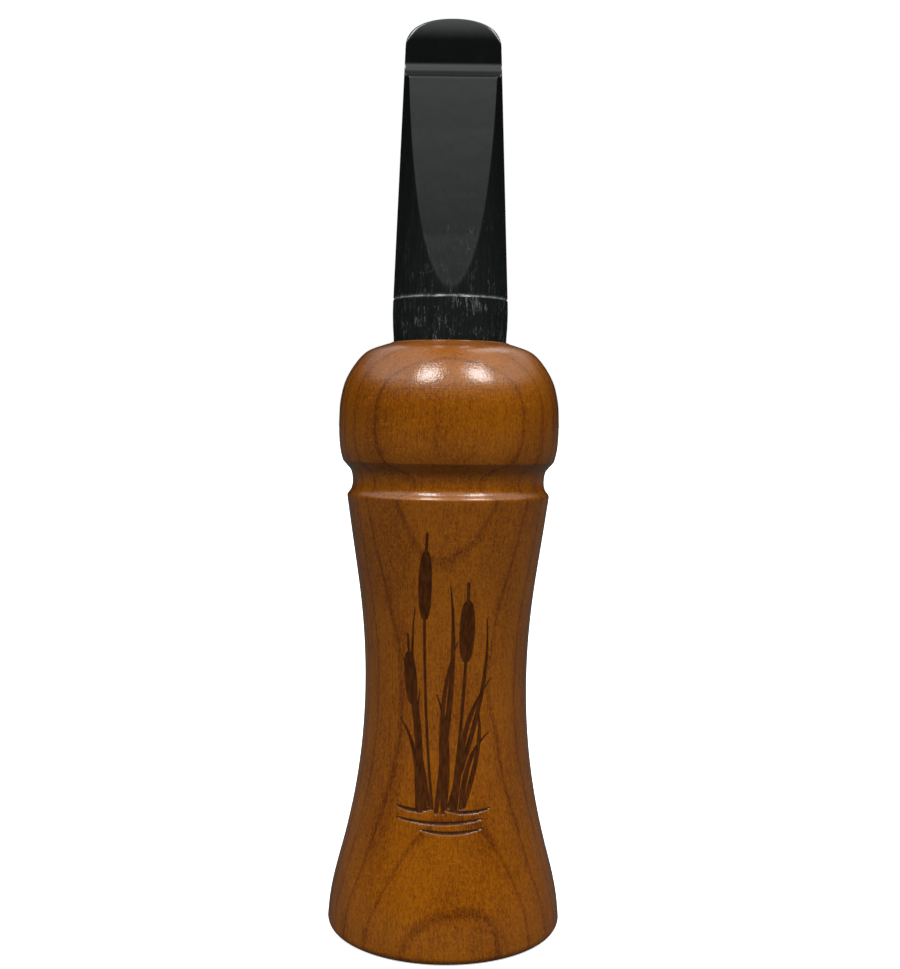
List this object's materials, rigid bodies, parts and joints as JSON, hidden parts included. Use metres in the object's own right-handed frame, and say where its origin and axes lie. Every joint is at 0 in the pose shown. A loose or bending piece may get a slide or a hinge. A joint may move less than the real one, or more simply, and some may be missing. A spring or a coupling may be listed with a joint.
{
  "type": "duck call",
  "caption": "Open-reed mouth call: turned cherry barrel with a lanyard groove and flared bell, and a black bevelled tone board with its reed and wedge.",
  "frame": {"origin": "centre of the bell end's flat face, on the call's axis", "axes": "+Z along the call from the bell to the lip; -Y is the side with the long bevel, +Y the reed's side"},
  "size_m": [0.0322, 0.0322, 0.127],
  "materials": {
    "cherry_wood": "satin lacquer over turned cherry",
    "black_acrylic": "polished, lightly scuffed",
    "reed_film": "frosted polyester film",
    "wedge_plastic": "satin"
  },
  "bodies": {
    "barrel": {"barrel": "cherry_wood"},
    "tone_board": {"tone_board": "black_acrylic"},
    "reed": {"reed": "reed_film"},
    "reed_wedge": {"reed_wedge": "wedge_plastic"}
  },
  "joints": [
    {"name": "tone_board_pull", "type": "slide", "parent": "barrel", "child": "tone_board", "axis": [0, 0, 1], "range_m": [0, 0.022]},
    {"name": "reed_flex", "type": "hinge", "parent": "tone_board", "child": "reed", "pos_m": [0, 0.00317, 0.0918], "axis": [1, 0, 0], "range_deg": [0, 3.3], "stiffness_Nm_per_rad": 0.0157, "deforming": ["reed"]},
    {"name": "wedge_pull", "type": "slide", "parent": "tone_board", "child": "reed_wedge", "axis": [0, 0, 1], "range_m": [0, 0.007]}
  ]
}
